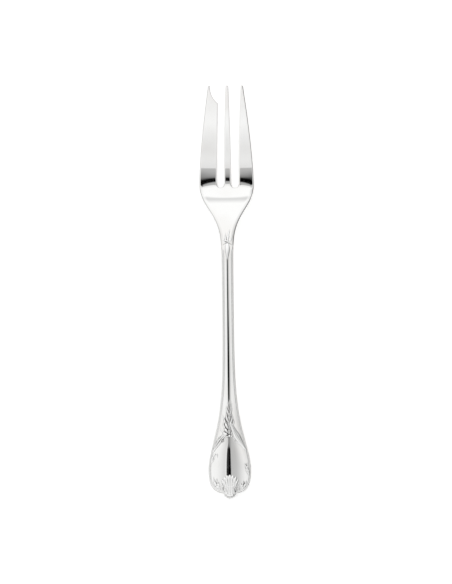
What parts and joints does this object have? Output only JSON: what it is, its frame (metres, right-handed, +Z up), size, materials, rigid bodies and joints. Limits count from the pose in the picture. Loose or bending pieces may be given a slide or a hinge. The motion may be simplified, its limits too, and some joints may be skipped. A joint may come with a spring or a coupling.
{
  "type": "serving fork",
  "caption": "Polished silver serving fork with slotted tines, a broad notched cutting tine, a slim straight stem and a broad handle end with threads, leaf sprays and a fluted shell.",
  "frame": {"origin": "on the table under the middle of the fork's length, with the fork lying face up", "axes": "+Y along the fork towards the tine tips, +Z up out of the front face, +X to the right seen from the front"},
  "size_m": [0.0326, 0.245, 0.0168],
  "materials": {
    "polished_silver": "polished silver plate",
    "chased_silver": "polished silver plate over chased and struck relief"
  },
  "bodies": {
    "root": {"fork_head": "polished_silver", "handle": "polished_silver", "neck_leaf": "chased_silver", "left_thread": "chased_silver", "right_thread": "chased_silver", "stem_spray": "chased_silver", "left_scroll": "chased_silver", "right_scroll": "chased_silver", "left_side_leaf": "chased_silver", "right_side_leaf": "chased_silver", "left_base_leaf": "chased_silver", "right_base_leaf": "chased_silver", "terminal_shell": "chased_silver"}
  },
  "joints": []
}
